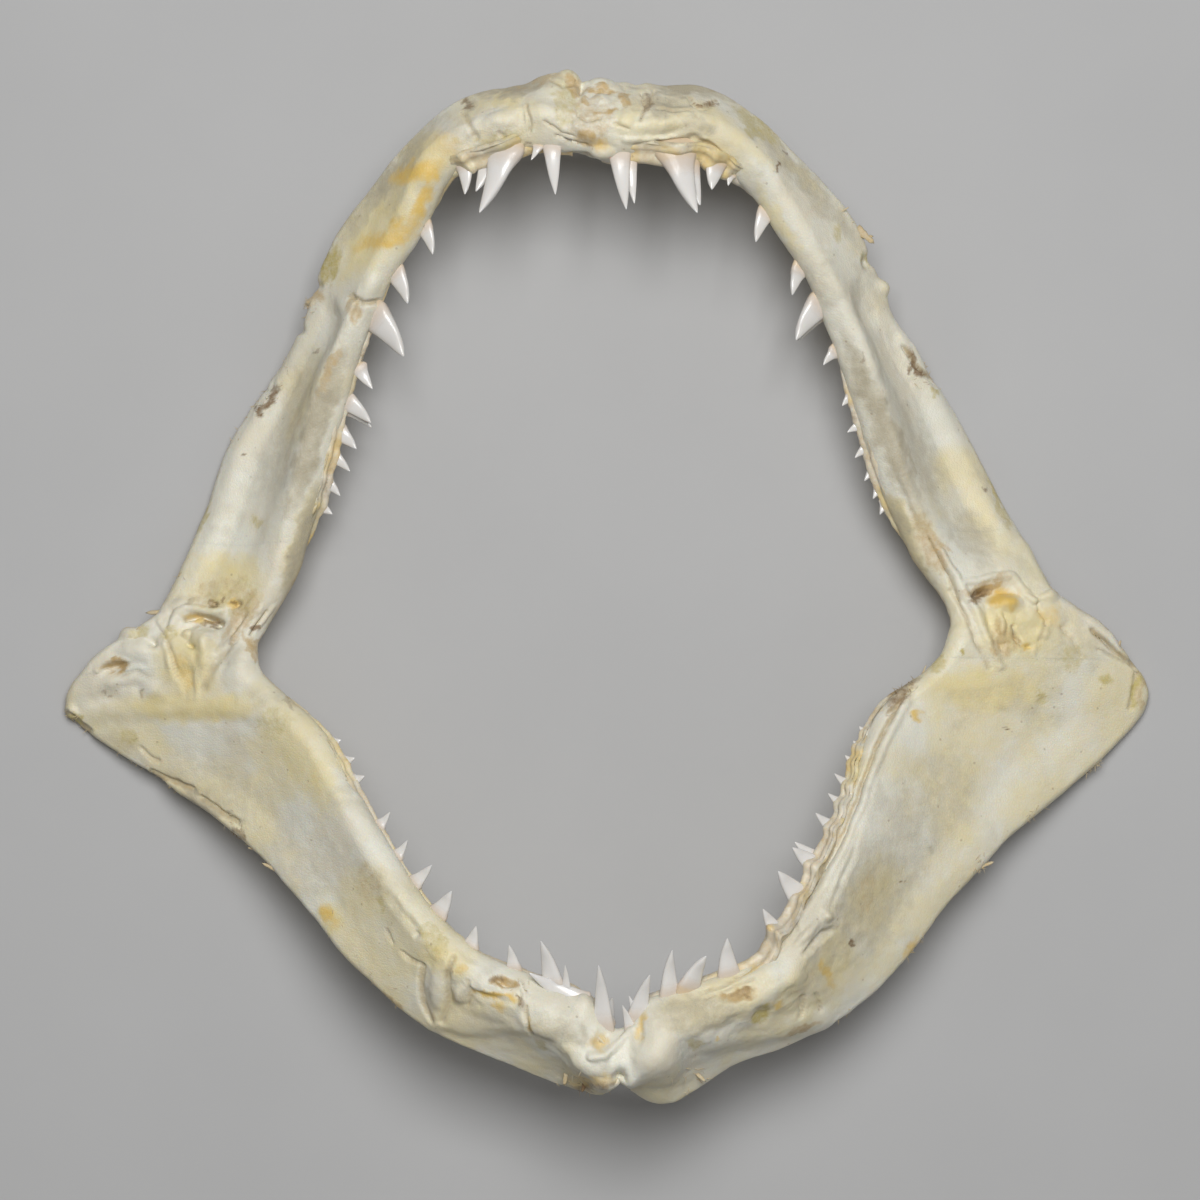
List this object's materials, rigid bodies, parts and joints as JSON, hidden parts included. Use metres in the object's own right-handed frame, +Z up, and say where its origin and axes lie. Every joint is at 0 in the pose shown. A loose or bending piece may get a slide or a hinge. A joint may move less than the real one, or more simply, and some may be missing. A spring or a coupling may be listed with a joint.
{
  "type": "mako shark jaw",
  "caption": "Dried shark jaw opened wide, with slender pointed teeth along both arches, lying on its back with the mouth facing up.",
  "frame": {"origin": "middle of the box round the jaw, on the surface it lies on", "axes": "+X across the jaw towards the shark's left corner, +Y from the lower jaw to the upper jaw, +Z up, towards whoever looks into the mouth from the front"},
  "size_m": [0.3296, 0.3008, 0.0823],
  "materials": {
    "cartilage": "dry, satin, cream to ivory with yellow and grey stains",
    "ligament": "dried, yellowish, slightly glossy",
    "tissue": "dried, lumpy, yellow-brown",
    "teeth": "glossy ivory enamel over dull tan roots"
  },
  "bodies": {
    "root": {"upper_jaw_left": "cartilage", "upper_jaw_right": "cartilage", "lower_jaw_left": "cartilage", "lower_jaw_right": "cartilage", "joint_ligament_left": "ligament", "joint_ligament_right": "ligament", "upper_symphysis": "tissue", "lower_symphysis": "tissue"}
  },
  "joints": []
}
